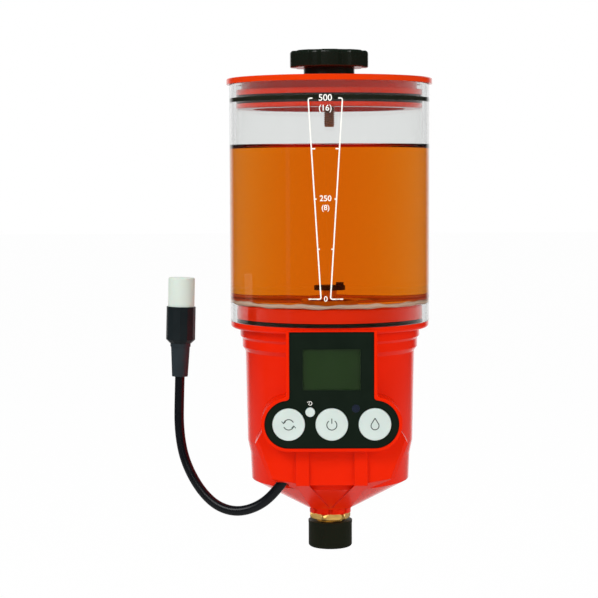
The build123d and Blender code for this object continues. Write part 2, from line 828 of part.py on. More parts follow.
with BuildPart() as drive_gear:
    with BuildSketch(Plane.XY.offset(gear_z)):
        with BuildLine():
            Polyline(*gear_points(gear_teeth, 0), close=True)
        make_face()
        Circle(spindle_r + seat_gap, mode=Mode.SUBTRACT)
    extrude(amount=gear_width)
    with BuildSketch(Plane.XY.offset(gear_z + gear_width)):
        Circle(gear_hub_r)
        Circle(spindle_r + seat_gap, mode=Mode.SUBTRACT)
    extrude(amount=gear_hub_height)
drive_gear.part.label = "drive_gear"

with BuildPart() as motor_pinion:
    with BuildSketch(Plane.XY.offset(gear_z)):
        with BuildLine():
            Polyline(*gear_points(pinion_teeth, math.pi + math.pi / pinion_teeth), close=True)
        make_face()
        Circle(motor_shaft_r, mode=Mode.SUBTRACT)
    extrude(amount=gear_width)
motor_pinion.part = motor_pinion.part.moved(Location((motor_x, 0, 0)))
motor_pinion.part.label = "motor_pinion"

with BuildPart() as motor_shaft:
    with BuildSketch(Plane.XY.offset(gear_z)):
        with Locations((motor_x, 0)):
            Circle(motor_shaft_r)
    extrude(amount=motor_z + shaft_entry - gear_z)
motor_shaft.part.label = "motor_shaft"

post_angles = [90, 180, 270]
post_places = [
    (post_circle * math.cos(math.radians(a)), post_circle * math.sin(math.radians(a))) for a in post_angles
]
motor_screw_places = [(motor_x, -motor_screw_offset), (motor_x, motor_screw_offset)]
with BuildPart() as motor_plate:
    with BuildSketch(Plane.XY.offset(plate_z)):
        Circle(table_r)
        with Locations((motor_x / 2, 0)):
            Rectangle(motor_x, 2 * motor_r)
        with Locations((motor_x, 0)):
            Circle(motor_r)
        Circle(spindle_r + moving_gap, mode=Mode.SUBTRACT)
        with Locations((motor_x, 0)):
            Circle(motor_shaft_r + shaft_clearance, mode=Mode.SUBTRACT)
        with Locations(*motor_screw_places):
            Circle(screw_r, mode=Mode.SUBTRACT)
        with Locations(*post_places):
            Circle(screw_r, mode=Mode.SUBTRACT)
    extrude(amount=plate_thickness)
    # key that stops the spindle from turning
    with BuildSketch(Plane.XY.offset(plate_z)):
        with Locations((spindle_flat + moving_gap + spindle_r / 4, 0)):
            Rectangle(spindle_r / 2, spindle_r)
    extrude(amount=plate_thickness)
motor_plate.part.label = "motor_plate"

with BuildPart() as plate_posts:
    with BuildSketch(Plane.XY.offset(table_z)):
        with Locations(*post_places):
            Circle(post_r)
    extrude(amount=plate_z - table_z)
plate_posts.part.label = "plate_posts"

with BuildPart() as plate_screws:
    with BuildSketch(Plane.XY.offset(plate_z)):
        with Locations(*post_places):
            Circle(screw_r)
    extrude(amount=plate_thickness)
    with BuildSketch(Plane.XY.offset(motor_z)):
        with Locations(*post_places):
            Circle(2 * screw_r)
    extrude(amount=screw_r)
plate_screws.part.label = "plate_screws"

with BuildPart() as motor_screws:
    with BuildSketch(Plane.XY.offset(plate_z)):
        with Locations(*motor_screw_places):
            Circle(screw_r)
    extrude(amount=plate_thickness)
    with BuildSketch(Plane.XY.offset(plate_z)):
        with Locations(*motor_screw_places):
            Circle(motor_screw_head_r)
    extrude(amount=-screw_r)
motor_screws.part.label = "motor_screws"

with BuildPart() as gear_motor:
    with BuildSketch(Plane.XY.offset(motor_z)):
        with Locations((motor_x, 0)):
            Circle(motor_r)
            Circle(motor_shaft_r + slide_gap, mode=Mode.SUBTRACT)
    extrude(amount=motor_length)
    chamfer(gear_motor.faces().sort_by(Axis.Z)[-1].edges().sort_by(SortBy.RADIUS)[-1], length=motor_chamfer)
gear_motor.part.label = "gear_motor"

# ---------------------------------------------------------------- outlet check valve
with BuildPart() as check_ball:
    with Locations((0, 0, ball_z)):
        Sphere(ball_r)
check_ball.part.label = "check_ball"

spring_mean_r = valve_bore_r - spring_wire / 2 - moving_gap
spring_foot = valve_floor + spring_wire / 2
spring_height = ball_z - ball_r - spring_wire - seat_gap - valve_floor
with BuildPart() as check_spring:
    with BuildLine():
        coil = Helix(
            pitch=spring_height / spring_turns,
            height=spring_height,
            radius=spring_mean_r,
            center=(0, 0, spring_foot),
        )
    with BuildSketch(Plane(origin=coil @ 0, z_dir=coil % 0)):
        Circle(spring_wire / 2)
    sweep(is_frenet=True)
check_spring.part.label = "check_spring"

# ---------------------------------------------------------------- feed tube from inlet to pump
feed_top = spigot_top - base_floor - feed_gap
feed_offset = (table_r + post_r + feed_r) / math.sqrt(2)
feed_points = [
    (0, 0, feed_top),
    (0, 0, motor_z + motor_length + feed_r),
    (-feed_offset, feed_offset, motor_z + motor_length - feed_drop),
    (-feed_offset, feed_offset, inlet_port_z),
    (-block_r / math.sqrt(2), block_r / math.sqrt(2), inlet_port_z),
]
with BuildPart() as feed_tube:
    with BuildLine():
        feed_path = FilletPolyline(*feed_points, radius=feed_bend_r)
    with BuildSketch(Plane(origin=feed_path @ 0, z_dir=feed_path % 0)):
        Circle(feed_r)
        Circle(barb_r, mode=Mode.SUBTRACT)
    sweep()
feed_tube.part.label = "feed_tube"


# ================================================================ supply cable and its plug
def corner_radii(route):
    """Radius of each tangent arc: 0.45 of the shorter run over the tangent of half the turn."""
    radii = []
    for before, corner, after in zip(route, route[1:], route[2:]):
        first = Vector(*corner) - Vector(*before)
        second = Vector(*after) - Vector(*corner)
        half_turn = math.radians(first.get_angle(second)) / 2
        radii.append(0.45 * min(first.length, second.length) / math.tan(half_turn))
    return radii


cable_radii = corner_radii(cable_route)
print("cable radii", [round(r, 1) for r in cable_radii])

with BuildPart() as supply_cable:
    with BuildLine():
        cable_path = FilletPolyline(*cable_route, radius=cable_radii)
    with BuildSketch(Plane(origin=cable_path @ 0, z_dir=cable_path % 0)):
        Circle(cable_r)
    sweep()
supply_cable.part.label = "supply_cable"
cable_length = cable_path.length
print("cable length", round(cable_length, 2))
print("cable volume", supply_cable.part.volume, "section by length", math.pi * cable_r**2 * cable_length)

with BuildPart() as cable_grommet:
    with BuildSketch(exit_plane):
        Circle(grommet_r)
        Circle(cable_r, mode=Mode.SUBTRACT)
    extrude(amount=grommet_length)
cable_grommet.part.label = "cable_grommet"

plug_plane = Plane(origin=cable_path @ 1, z_dir=cable_path % 1)
with BuildPart() as cable_boot:
    with BuildSketch(plug_plane):
        Circle(boot_r)
    with BuildSketch(plug_plane.offset(boot_length - boot_rim)):
        Circle(boot_top_r)
    loft()
    with BuildSketch(plug_plane.offset(boot_length - boot_rim)):
        Circle(boot_top_r + boot_rim_proud)
    extrude(amount=boot_rim)
cable_boot.part.label = "cable_boot"

with BuildPart() as plug_grip:
    with BuildSketch(plug_plane.offset(boot_length)):
        RegularPolygon(grip_r, grip_facets)
    extrude(amount=grip_length)
    chamfer(plug_grip.faces().sort_by(Axis.Z)[0].edges(), length=grip_chamfer)
plug_grip.part.label = "plug_grip"

shell_z = boot_length + grip_length
with BuildPart() as plug_shell:
    with BuildSketch(plug_plane.offset(shell_z)):
        Circle(plug_r)
    extrude(amount=plug_length)
    chamfer(plug_shell.faces().sort_by(Axis.Z)[-1].edges(), length=plug_end_chamfer)
    with BuildSketch(plug_plane.offset(shell_z + plug_length)):
        with PolarLocations(contact_circle, contact_count):
            Circle(contact_r + slide_gap)
    extrude(amount=-contact_length, mode=Mode.SUBTRACT)
plug_shell.part.label = "plug_shell"

with BuildPart() as plug_contacts:
    with BuildSketch(plug_plane.offset(shell_z + plug_length - contact_length)):
        with PolarLocations(contact_circle, contact_count):
            Circle(contact_r)
    extrude(amount=contact_length - contact_recess)
plug_contacts.part.label = "plug_contacts"


# ================================================================ one file for each piece
pieces = [
    outlet_nipple.part, outlet_cap.part, housing.part, panel.part, display_window.part,
    display_module.part, circuit_board.part, board_screws.part, key_switches.part, led_lens.part,
    reservoir_base.part, base_seal, reservoir_tube.part, inlet_fitting.part, strainer.part,
    oil_fill.part, lid.part, lid_ring, knob_washer.part, knob.part, knob_stud.part,
    pump_block.part, plunger.part, drive_gear.part, motor_pinion.part, motor_shaft.part,
    motor_plate.part, plate_posts.part, plate_screws.part, motor_screws.part, gear_motor.part,
    check_ball.part, check_spring.part, feed_tube.part, supply_cable.part, cable_grommet.part,
    cable_boot.part, plug_grip.part, plug_shell.part, plug_contacts.part,
] + keys
for piece in pieces:
    export_step(piece, f"parts/{piece.label}.step")
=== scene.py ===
"""Looks of the automatic lubricator: materials, printing, threads, cable and studio.

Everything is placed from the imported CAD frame: metres, +Z up, the front faces -Y.
"""
import json
import math

import bpy
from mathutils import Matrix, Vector


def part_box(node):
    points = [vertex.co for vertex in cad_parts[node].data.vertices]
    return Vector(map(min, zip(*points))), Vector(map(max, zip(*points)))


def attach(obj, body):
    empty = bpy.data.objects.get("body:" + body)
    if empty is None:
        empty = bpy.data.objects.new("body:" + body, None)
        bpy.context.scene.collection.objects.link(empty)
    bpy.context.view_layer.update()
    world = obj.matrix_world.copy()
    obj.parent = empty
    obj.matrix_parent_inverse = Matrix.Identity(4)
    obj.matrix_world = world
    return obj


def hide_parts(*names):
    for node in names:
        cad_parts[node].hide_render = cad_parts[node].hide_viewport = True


MM = 0.001
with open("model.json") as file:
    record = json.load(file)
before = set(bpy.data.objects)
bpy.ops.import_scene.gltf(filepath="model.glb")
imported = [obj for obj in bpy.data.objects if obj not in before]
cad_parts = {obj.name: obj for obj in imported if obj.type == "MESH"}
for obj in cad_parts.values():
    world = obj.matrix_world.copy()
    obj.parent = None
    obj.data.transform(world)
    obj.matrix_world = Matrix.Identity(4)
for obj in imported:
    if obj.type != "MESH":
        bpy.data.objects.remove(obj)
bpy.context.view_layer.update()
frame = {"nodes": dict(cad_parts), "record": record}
nodes = frame["nodes"]


# ------------------------------------------------------------------ places read from the frame
def low(node):
    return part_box(node)[0]


def high(node):
    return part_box(node)[1]


tube_r = high("reservoir_tube").x
tube_foot = low("reservoir_tube").z
tube_head = high("reservoir_tube").z
wall_in = 43.0 * MM                     # radius of the tube's bore
oil_top = high("oil_fill").z
oil_foot = high("reservoir_base").z
panel_y = low("panel").y
key_y = low("power_button").y
nipple_foot = low("outlet_nipple").z
nipple_head = high("outlet_nipple").z
stud_r = high("knob_stud").x
stud_foot = low("knob_stud").z
stud_head = high("knob_stud").z
columns = 256                           # facets round the tube and what it holds


# ------------------------------------------------------------------ node materials
def set_inputs(node, values):
    for name, value in values.items():
        node.inputs[name].default_value = value


def new_material(name):
    """Empty node material; returns it, its node tree and its output node."""
    material = bpy.data.materials.new(name)
    material.use_nodes = True
    tree = material.node_tree
    tree.nodes.clear()
    output = tree.nodes.new("ShaderNodeOutputMaterial")
    return material, tree, output


def math_node(tree, operation, first, second, clamp=False):
    """Math node on two inputs, each a socket or a number."""
    node = tree.nodes.new("ShaderNodeMath")
    node.operation = operation
    node.use_clamp = clamp
    for socket, value in zip(node.inputs, (first, second)):
        if isinstance(value, (int, float)):
            socket.default_value = value
        else:
            tree.links.new(value, socket)
    return node.outputs["Value"]


def noise(tree, scale, detail=3.0, stretch=(1, 1, 1)):
    """Noise in object space, stretched along an axis where stretch is small."""
    coords = tree.nodes.new("ShaderNodeTexCoord")
    mapping = tree.nodes.new("ShaderNodeMapping")
    mapping.inputs["Scale"].default_value = stretch
    texture = tree.nodes.new("ShaderNodeTexNoise")
    set_inputs(texture, {"Scale": scale, "Detail": detail})
    tree.links.new(coords.outputs["Object"], mapping.inputs["Vector"])
    tree.links.new(mapping.outputs["Vector"], texture.inputs["Vector"])
    return texture


def ramp(tree, source, start, end, first, last):
    """Two-colour ramp over a texture's factor."""
    node = tree.nodes.new("ShaderNodeValToRGB")
    node.color_ramp.elements[0].position = start
    node.color_ramp.elements[1].position = end
    node.color_ramp.elements[0].color = first
    node.color_ramp.elements[1].color = last
    tree.links.new(source, node.inputs["Fac"])
    return node


def rough_range(tree, source, least, most):
    """Roughness between two values over a texture's factor."""
    node = tree.nodes.new("ShaderNodeMapRange")
    set_inputs(node, {"From Min": 0.3, "From Max": 0.7, "To Min": least, "To Max": most})
    tree.links.new(source, node.inputs["Value"])
    return node


def shade(colour, amount):
    """A colour times an amount, as RGBA."""
    return tuple(min(1.0, c * amount) for c in colour) + (1.0,)


def inside_tube(tree):
    """1 on surfaces that the reservoir's wall surrounds, 0 outside it."""
    coords = tree.nodes.new("ShaderNodeTexCoord")
    split = tree.nodes.new("ShaderNodeSeparateXYZ")
    tree.links.new(coords.outputs["Object"], split.inputs["Vector"])
    flat = tree.nodes.new("ShaderNodeCombineXYZ")
    tree.links.new(split.outputs["X"], flat.inputs["X"])
    tree.links.new(split.outputs["Y"], flat.inputs["Y"])
    length = tree.nodes.new("ShaderNodeVectorMath")
    length.operation = "LENGTH"
    tree.links.new(flat.outputs["Vector"], length.inputs[0])
    near = math_node(tree, "LESS_THAN", length.outputs["Value"], wall_in + 0.2 * MM)
    above = math_node(tree, "GREATER_THAN", split.outputs["Z"], tube_foot + 0.1 * MM)
    return math_node(tree, "MULTIPLY", near, above)


def solid(name, colour, rough=(0.3, 0.4), grain=400.0, depth=0.02, variation=0.08,
          stretch=(1, 1, 1), round_edge=0.0, painted_inside_light=None, **inputs):
    """Surface material: mottled colour, uneven roughness and a fine grain.

    grain is the fine noise's scale, depth its height in mm, and round_edge the radius in mm that
    sharp edges are shaded with. The colour given for inside the tube is painted light: a brighter
    colour on surfaces within the tube's wall, standing in for the light that the wall and the lid
    keep from them.
    that sharp edges are shaded with. clean is the fresher colour inside the tube."""
    material, tree, output = new_material(name)
    shader = tree.nodes.new("ShaderNodeBsdfPrincipled")
    set_inputs(shader, inputs)
    broad = noise(tree, grain / 12, stretch=stretch)
    fine = noise(tree, grain, 4.0, stretch)
    tint = ramp(tree, broad.outputs["Fac"], 0.3, 0.7,
                shade(colour, 1 - variation), shade(colour, 1 + variation))
    colour_out = tint.outputs["Color"]
    # painted light: surfaces inside the tube take a brighter colour in place of the light the
    # tube's wall keeps out
    if painted_inside_light:
        painted_light_mix = tree.nodes.new("ShaderNodeMix")
        painted_light_mix.data_type = "RGBA"
        tree.links.new(inside_tube(tree), painted_light_mix.inputs["Factor"])
        tree.links.new(colour_out, painted_light_mix.inputs["A"])
        painted_light_mix.inputs["B"].default_value = shade(painted_inside_light, 1)
        colour_out = painted_light_mix.outputs["Result"]
    tree.links.new(colour_out, shader.inputs["Base Color"])
    uneven = rough_range(tree, broad.outputs["Fac"], *rough)
    tree.links.new(uneven.outputs["Result"], shader.inputs["Roughness"])
    bump = tree.nodes.new("ShaderNodeBump")
    set_inputs(bump, {"Strength": 0.5, "Distance": depth * MM})
    tree.links.new(fine.outputs["Fac"], bump.inputs["Height"])
    if round_edge:
        bevel = tree.nodes.new("ShaderNodeBevel")
        bevel.samples = 4
        bevel.inputs["Radius"].default_value = round_edge * MM
        tree.links.new(bevel.outputs["Normal"], bump.inputs["Normal"])
    tree.links.new(bump.outputs["Normal"], shader.inputs["Normal"])
    tree.links.new(shader.outputs["BSDF"], output.inputs["Surface"])
    return material


def clear(name, colour, ior, rough=0.0, absorb=None, density=0.0, **inputs):
    """See-through material with faint streaks along Z and an optional tinted body.

    Shadow rays pass it, so that the lamps light what it holds."""
    material, tree, output = new_material(name)
    shader = tree.nodes.new("ShaderNodeBsdfPrincipled")
    set_inputs(shader, {"Base Color": tuple(colour) + (1.0,), "Transmission Weight": 1.0,
                        "IOR": ior, "Roughness": rough, **inputs})
    streaks = noise(tree, 60.0, 2.0, (1, 1, 0.02))
    bump = tree.nodes.new("ShaderNodeBump")
    set_inputs(bump, {"Strength": 0.2, "Distance": 0.02 * MM})
    tree.links.new(streaks.outputs["Fac"], bump.inputs["Height"])
    tree.links.new(bump.outputs["Normal"], shader.inputs["Normal"])
    passing = tree.nodes.new("ShaderNodeBsdfTransparent")
    passing.inputs["Color"].default_value = (1, 1, 1, 1)
    path = tree.nodes.new("ShaderNodeLightPath")
    mix = tree.nodes.new("ShaderNodeMixShader")
    tree.links.new(path.outputs["Is Shadow Ray"], mix.inputs["Fac"])
    tree.links.new(shader.outputs["BSDF"], mix.inputs[1])
    tree.links.new(passing.outputs["BSDF"], mix.inputs[2])
    tree.links.new(mix.outputs["Shader"], output.inputs["Surface"])
    if absorb:
        volume = tree.nodes.new("ShaderNodeVolumeAbsorption")
        set_inputs(volume, {"Color": tuple(absorb) + (1.0,), "Density": density})
        tree.links.new(volume.outputs["Volume"], output.inputs["Volume"])
    return material


RED = (0.76, 0.0155, 0.0005)
CLEAR = (0.865, 0.875, 0.87)
WALL_IOR = 1.49
FAINT = {"Specular Tint": (0.12, 0.12, 0.12, 1)}     # weak mirror face on, full at the edges
NO_MIRROR = {"Specular Tint": (0, 0, 0, 1)}          # where oil wets the wall
looks = {
    # the second colour is painted light: a brighter red inside the tube, standing in for the light
    # its wall keeps out
    "red_plastic": solid("red_moulding", RED, (0.17, 0.20), 700, 0.010, 0.02, round_edge=0.35,
                         painted_inside_light=(0.98, 0.030, 0.002), **FAINT),
    "clear_plastic": clear("clear_tube", CLEAR, WALL_IOR),
    "oil": clear("golden_oil", (1.0, 1.0, 1.0), 1.47, absorb=(0.979, 0.712, 0.007),
                 density=74.0, **NO_MIRROR),
    "black_rubber": solid("seal_rubber", (0.010, 0.013, 0.005), (0.42, 0.55), 900, 0.02, 0.15,
                          **{"Specular IOR Level": 0.15}),
    "black_plastic": solid("black_moulding", (0.007, 0.012, 0.009), (0.35, 0.45), 800, 0.015),
    "knob_plastic": solid("knob_moulding", (0.006, 0.012, 0.007), (0.2, 0.28), 800, 0.01, 0.1,
                          round_edge=0.3, **{"Specular IOR Level": 0.45}),
    "brass": solid("turned_brass", (0.74, 0.46, 0.13), (0.28, 0.42), 900, 0.01, 0.12,
                   (1, 1, 6), round_edge=0.2, Metallic=1.0),
    "panel_black": solid("panel_film", (0.0062, 0.0125, 0.0073), (0.35, 0.45), 1500, 0.008, 0.1,
                         **{"Specular IOR Level": 0.1}),
    "display_glass": clear("display_pane", (0.55, 0.62, 0.50), 1.05,
                           **{"Coat Weight": 0.2, "Coat Roughness": 0.1}),
    "display_green": solid("display_cell", (0.016, 0.046, 0.009), (0.4, 0.5), 300, 0.0, 0.12),
    "board_green": solid("board_lacquer", (0.02, 0.12, 0.05), (0.3, 0.45), 900, 0.02),
    "steel": solid("machined_steel", (0.60, 0.60, 0.61), (0.25, 0.4), 900, 0.01, 0.06,
                   (1, 1, 12), Metallic=1.0),
    "key_white": solid("key_rubber", (0.60, 0.68, 0.64), (0.45, 0.6), 900, 0.03, 0.03,
                       **{"Specular IOR Level": 0.3, "Subsurface Weight": 0.1,
                          "Subsurface Scale": 0.001}),
    "switch_black": solid("switch_body", (0.03, 0.03, 0.03), (0.4, 0.5), 800, 0.01),
    "led_blue": solid("led_moulding", (0.008, 0.013, 0.028), (0.15, 0.25), 600, 0.0, 0.1,
                      **{"Coat Weight": 0.3}),
    "pump_metal": solid("pump_casting", (0.55, 0.56, 0.58), (0.35, 0.5), 700, 0.03, 0.08,
                        Metallic=1.0),
    "gear_plastic": solid("gear_moulding", (0.78, 0.76, 0.66), (0.35, 0.5), 700, 0.01, 0.04),
    "feed_hose": solid("hose_wall", (0.7, 0.7, 0.62), (0.3, 0.45), 500, 0.01, 0.05),
    "cable_jacket": solid("cable_sheath", (0.003, 0.004, 0.006), (0.24, 0.32), 1200, 0.02, 0.15,
                          **{"Specular IOR Level": 0.45}),
    "plug_black": solid("grip_moulding", (0.007, 0.012, 0.014), (0.32, 0.45), 1000, 0.02, 0.15,
                        **{"Specular IOR Level": 0.3}),
    "plug_white": solid("plug_moulding", (0.62, 0.69, 0.62), (0.3, 0.4), 600, 0.01, 0.03,
                        (1, 1, 0.1), **{"Subsurface Weight": 0.15, "Subsurface Scale": 0.002}),
    "dark_metal": solid("filter_metal", (0.05, 0.03, 0.02), (0.4, 0.6), 1200, 0.03, 0.3,
                        Metallic=0.6),
}
# the second colour is painted light: a brighter red on the lid's plug inside the tube, standing in
# for the light the wall keeps out
lid_red = solid("lid_moulding", (0.70, 0.036, 0.001), (0.17, 0.20), 700, 0.010, 0.03,
                round_edge=0.35, painted_inside_light=(0.90, 0.035, 0.002), **FAINT)
boot_grey = solid("boot_rubber", (0.016, 0.025, 0.031), (0.35, 0.5), 1000, 0.03, 0.15)
print_white = solid("scale_ink", (0.93, 0.92, 0.86), (0.4, 0.5), 900, 0.0, 0.02)
print_dark = solid("key_ink", (0.05, 0.07, 0.065), (0.5, 0.6), 900, 0.0, 0.1)
wet_wall = clear("wet_tube", CLEAR, WALL_IOR, **NO_MIRROR)
sealant = solid("sealant", (0.99, 0.80, 0.62), (0.4, 0.5), 300, 0.05, 0.03,
                **{"Transmission Weight": 0.45, "IOR": 1.2})
stud_bronze = solid("stud_bronze", (0.34, 0.15, 0.035), (0.3, 0.45), 900, 0.01, 0.2,
                    Metallic=0.8)


def repaint(node, material):
    """Gives a CAD node one material."""
    mesh = nodes[node].data
    mesh.materials.clear()
    mesh.materials.append(material)


for row in frame["record"]["subparts"]:
    repaint(row["node"], looks[row["material_slot"]])
repaint("inlet_fitting", looks["brass"])
repaint("lid", lid_red)
repaint("cable_boot", boot_grey)


# ------------------------------------------------------------------ mesh helpers
def piece(name, points, faces, body, material, smooth=True):
    """New mesh object in the row frame that rides on a CAD body."""
    mesh = bpy.data.meshes.new(name)
    mesh.from_pydata([tuple(p) for p in points], [], faces)
    mesh.validate()
    mesh.update()
    for polygon in mesh.polygons:
        polygon.use_smooth = smooth
    mesh.materials.append(material)
    made = bpy.data.objects.new(name, mesh)
    bpy.context.scene.collection.objects.link(made)
    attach(made, body)
    return made


def grid_faces(rows, columns, closed=True, ends=False):
    """Quads of a grid of rows of points; closed joins each row's ends, ends caps the stack."""
    faces = []
    steps = columns if closed else columns - 1
    for row in range(rows - 1):
        for column in range(steps):
            after = (column + 1) % columns
            faces.append((row * columns + column, row * columns + after,
                          (row + 1) * columns + after, (row + 1) * columns + column))
    if ends:
        faces.append(tuple(reversed(range(columns))))
        faces.append(tuple((rows - 1) * columns + c for c in range(columns)))
    return faces


def round_body(name, levels, radius_at, columns, body, material, smooth=True):
    """Closed body about the Z axis; radius_at(angle, z) gives its surface."""
    points = []
    for z in levels:
        for column in range(columns):
            angle = 2 * math.pi * column / columns
            radius = radius_at(angle, z)
            points.append((radius * math.cos(angle), radius * math.sin(angle), z))
    faces = grid_faces(len(levels), columns, True, True)
    return piece(name, points, faces, body, material, smooth)


def spread(start, end, count):
    """Evenly spaced numbers from start to end."""
    return [start + (end - start) * i / (count - 1) for i in range(count)]


def thread_radius(angle, z, major, pitch, depth, start, end):
    """Surface of a right-hand thread with flat crests that runs out at both ends."""
    turn = (z / pitch - angle / (2 * math.pi)) % 1.0
    tooth = max(0.0, 1 - abs(turn - 0.5) / 0.42)
    tooth = min(1.0, tooth * 1.25)
    fade = min(1.0, (z - start) / pitch, (end - z) / pitch)
    return major - depth * (1 - tooth * max(0.0, fade))


def lathe(name, profile, columns, body, material):
    """Body turned about the Z axis from a closed outline of (radius, height) points."""
    points, rings = [], []
    for radius, z in profile:
        if radius == 0:
            rings.append([len(points)] * columns)
            points.append((0, 0, z))
            continue
        rings.append(list(range(len(points), len(points) + columns)))
        for column in range(columns):
            angle = 2 * math.pi * column / columns
            points.append((radius * math.cos(angle), radius * math.sin(angle), z))
    faces = []
    for here, after in zip(rings, rings[1:] + rings[:1]):
        for column in range(columns):
            beside = (column + 1) % columns
            corners = [here[column], here[beside], after[beside], after[column]]
            corners = [c for i, c in enumerate(corners) if c not in corners[:i]]
            if len(corners) > 2:
                faces.append(corners)
    made = piece(name, points, faces, body, material)
    made.data.set_sharp_from_angle(angle=math.radians(35))
    return made


# ------------------------------------------------------------------ reservoir glass, oil and seal
def rounded(corner, before, after, size, count=5):
    """Points that round one corner of an outline, by a quadratic curve."""
    corner, before, after = Vector(corner), Vector(before), Vector(after)
    start = corner + (before - corner).normalized() * size
    end = corner + (after - corner).normalized() * size
    points = []
    for share in spread(0, 1, count):
        there = start * (1 - share) ** 2 + corner * 2 * share * (1 - share) + end * share ** 2
        points.append((there.x, there.y))
    return points


hold = 1.0 * MM             # extra rings this near to the rims keep the long walls' shading true
rim_round = 0.35 * MM
wet_line = oil_top + 1.2 * MM
corners = [(tube_r, tube_foot), (tube_r, tube_head), (wall_in, tube_head), (wall_in, tube_foot)]
outline = []
for i, corner in enumerate(corners):
    outline += rounded(corner, corners[i - 1], corners[(i + 1) % 4], rim_round, 4)
    if i == 0:
        outline += [(tube_r, tube_foot + hold), (tube_r, tube_head - hold)]
    if i == 2:
        outline += [(wall_in, tube_head - hold), (wall_in, wet_line),
                    (wall_in, tube_foot + hold)]
mid_wall = (wall_in + tube_r) / 2
glass = lathe("reservoir_glass", outline, columns, "housing", looks["clear_plastic"])
glass.data.materials.append(wet_wall)
for polygon in glass.data.polygons:
    middle = polygon.center
    if middle.xy.length < mid_wall and middle.z < oil_top:
        polygon.material_index = 1
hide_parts("reservoir_tube")

wet_r = wall_in + 0.05 * MM             # the oil reaches into the wall, so no air shows between
oil_low = oil_foot + 0.02 * MM
oil_level = oil_top - 1.7 * MM
climb = 2.0 * MM                        # how high the oil climbs the wall
climb_width = 1.3
oil_round = 0.6 * MM
inward_steps = (0, 0.07, 0.15, 0.28, 0.42, 0.6, 0.8, 1.05, 1.35, 1.7, 2.1, 2.6, 3.2, 4, 5, 7)
outline = [(0, oil_low), (wet_r - 2 * hold, oil_low), (wet_r - oil_round, oil_low),
           (wet_r - oil_round / 4, oil_low + oil_round / 4), (wet_r, oil_low + oil_round),
           (wet_r, oil_low + 2 * hold), (wet_r, oil_level)]
outline += [(wet_r - inward * MM, oil_level + climb * math.exp(-inward / climb_width))
            for inward in inward_steps]
outline += [(wet_r - 9 * hold, oil_level), (0, oil_level)]
oil = lathe("oil_body", outline, columns, "housing", looks["oil"])
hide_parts("oil_fill")

bead_points, bead_faces = [], []
bead_r = wet_r + 0.03 * MM
for column in range(columns):
    angle = 2 * math.pi * column / columns
    swell = math.sin(9 * angle) + 0.8 * math.sin(17 * angle + 1.3) + 0.6 * math.sin(31 * angle + 4)
    sag = math.sin(13 * angle + 2) + 0.7 * math.sin(23 * angle)
    top = oil_foot + (1.9 + 0.22 * swell) * MM
    foot = oil_foot + (0.1 + 0.18 * sag) * MM
    section = ((bead_r, foot), (bead_r, (foot + top) / 2), (bead_r, top),
               (bead_r - 0.35 * MM, (foot + 2 * top) / 3), (bead_r - 0.9 * MM, foot))
    for radius, z in section:
        bead_points.append((radius * math.cos(angle), radius * math.sin(angle), z))
    here, beside = len(section) * column, len(section) * ((column + 1) % columns)
    for k in range(len(section)):
        after = (k + 1) % len(section)
        bead_faces.append((here + k, beside + k, beside + after, here + after))
piece("sealant_bead", bead_points, bead_faces, "housing", sealant)

ring_low, ring_high = low("lid_ring").z, high("lid_ring").z
ring_half = (ring_high - ring_low) / 2
ring_mid = (ring_high + ring_low) / 2
ring_r = wet_r - 1.75 * MM
band_half = 0.9 * MM                    # the ring is pressed flat against the wall this high
outline = [(wet_r, ring_mid - band_half), (wet_r, ring_mid + band_half)]
for degrees in range(40, 321, 20):
    turn = math.radians(degrees)
    outline.append((ring_r + (ring_half - 0.02 * MM) * math.cos(turn),
                    ring_mid + ring_half * math.sin(turn)))
seal = lathe("lid_seal", outline, columns, "lid", looks["black_rubber"])
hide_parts("lid_ring")


# ------------------------------------------------------------------ outlet nipple and knob stud
thread_r = high("outlet_cap").x - 3.65 * MM     # inside the cap's wall
nipple_pitch, nipple_cut = 1.41 * MM, 0.75 * MM
hex_height = 2.9 * MM
hex_half = 17.0 * MM / 2                        # half the width across the flats
hex_turn = math.radians(10.0)
corner_factor = 1.12                            # the corners are turned off a little
corner_chamfer = 0.5 * MM
shank_r = 6.0 * MM


def nipple_radius(angle, z):
    """Thread below the hexagon, the hexagon with chamfered corners, the shank above it."""
    if z < 0:
        chamfer = (z - nipple_foot) + thread_r - 0.9 * MM
        cut = thread_radius(angle, z, thread_r, nipple_pitch, nipple_cut, nipple_foot, 0.0)
        return min(cut, chamfer)
    if z > hex_height:
        return shank_r
    side = (angle - hex_turn) % (math.pi / 3) - math.pi / 6
    trim = max(0.0, corner_chamfer - min(z, hex_height - z)) * 1.1
    return min(hex_half / math.cos(side), hex_half * corner_factor - trim)


nipple_levels = spread(nipple_foot, -0.05 * MM, 84)
nipple_levels += [0.0, 0.25 * MM, 0.5 * MM, 1.5 * MM, 2.4 * MM, 2.65 * MM, hex_height]
nipple_levels += [hex_height + 0.01 * MM, nipple_head]
nipple = round_body("outlet_thread", nipple_levels, nipple_radius, 96, "housing",
                    looks["brass"])
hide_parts("outlet_nipple")

thread_end = stud_foot + 12 * MM
stud_pitch, stud_cut = 0.9 * MM, 0.45 * MM


def stud_radius(angle, z):
    """Thread with a chamfered tip, and the plain stud above it."""
    cut = thread_radius(angle, z, stud_r, stud_pitch, stud_cut, stud_foot, thread_end)
    return min(cut, z - stud_foot + stud_r - 0.5 * MM) if z < thread_end else stud_r


stud_levels = spread(stud_foot, thread_end, 110) + [stud_head]
stud = round_body("stud_thread", stud_levels, stud_radius, 40, "knob", stud_bronze)
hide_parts("knob_stud")


